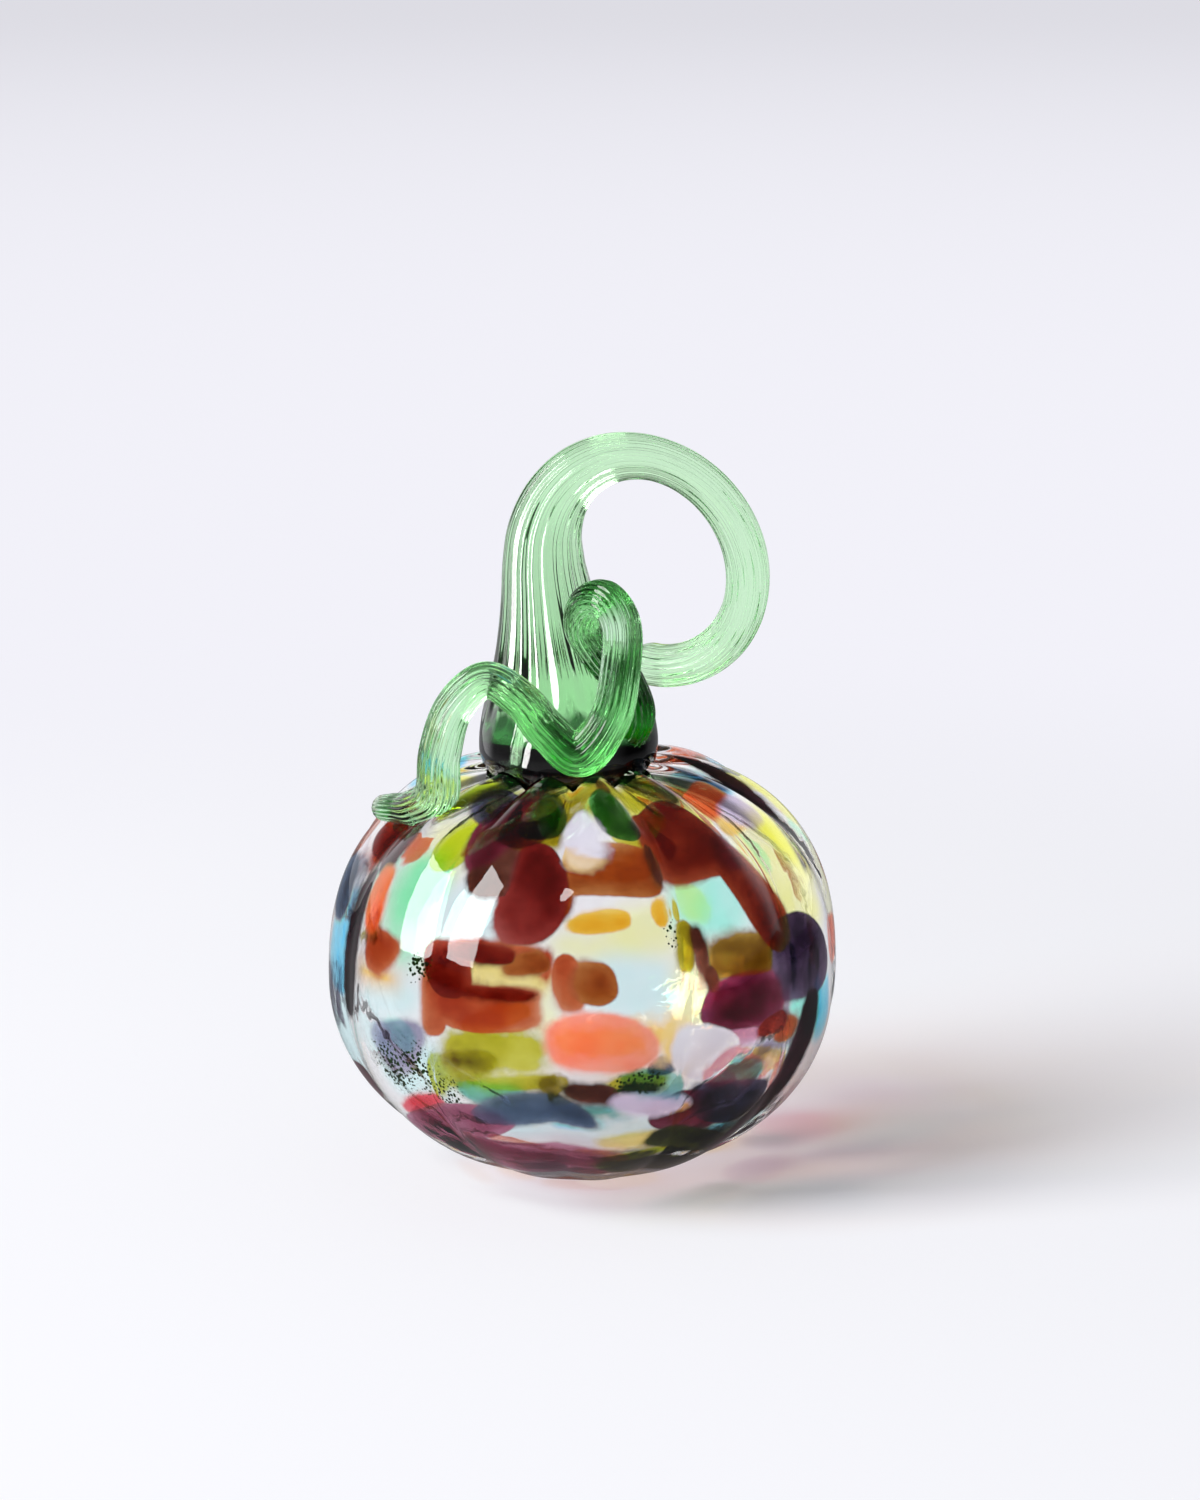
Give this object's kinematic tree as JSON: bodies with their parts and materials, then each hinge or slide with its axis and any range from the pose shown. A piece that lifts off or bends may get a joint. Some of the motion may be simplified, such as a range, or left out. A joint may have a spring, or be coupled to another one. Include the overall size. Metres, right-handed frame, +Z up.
{
  "type": "blown glass pumpkin",
  "caption": "Hollow ribbed glass pumpkin with mottled colour chips, a thick green glass stem wound into a loop and a thin curling green tendril; a free-standing ornament.",
  "frame": {"origin": "centre of the flat base, on the surface that the pumpkin stands on", "axes": "+Z up the axis of the body, -Y the front, where the tendril curls, +X to the right seen from the front"},
  "size_m": [0.0908, 0.0908, 0.1312],
  "materials": {
    "mottled_glass": "fire-polished clear glass over a layer of melted colour chips: maroon, amber, coral, plum, pale blue and opal white",
    "green_glass": "fire-polished transparent green glass with drawn-out ribs",
    "tendril_glass": "fire-polished transparent green glass with fine twisted ribs"
  },
  "bodies": {
    "root": {"body": "mottled_glass", "stem": "green_glass", "tendril": "tendril_glass"}
  },
  "joints": []
}
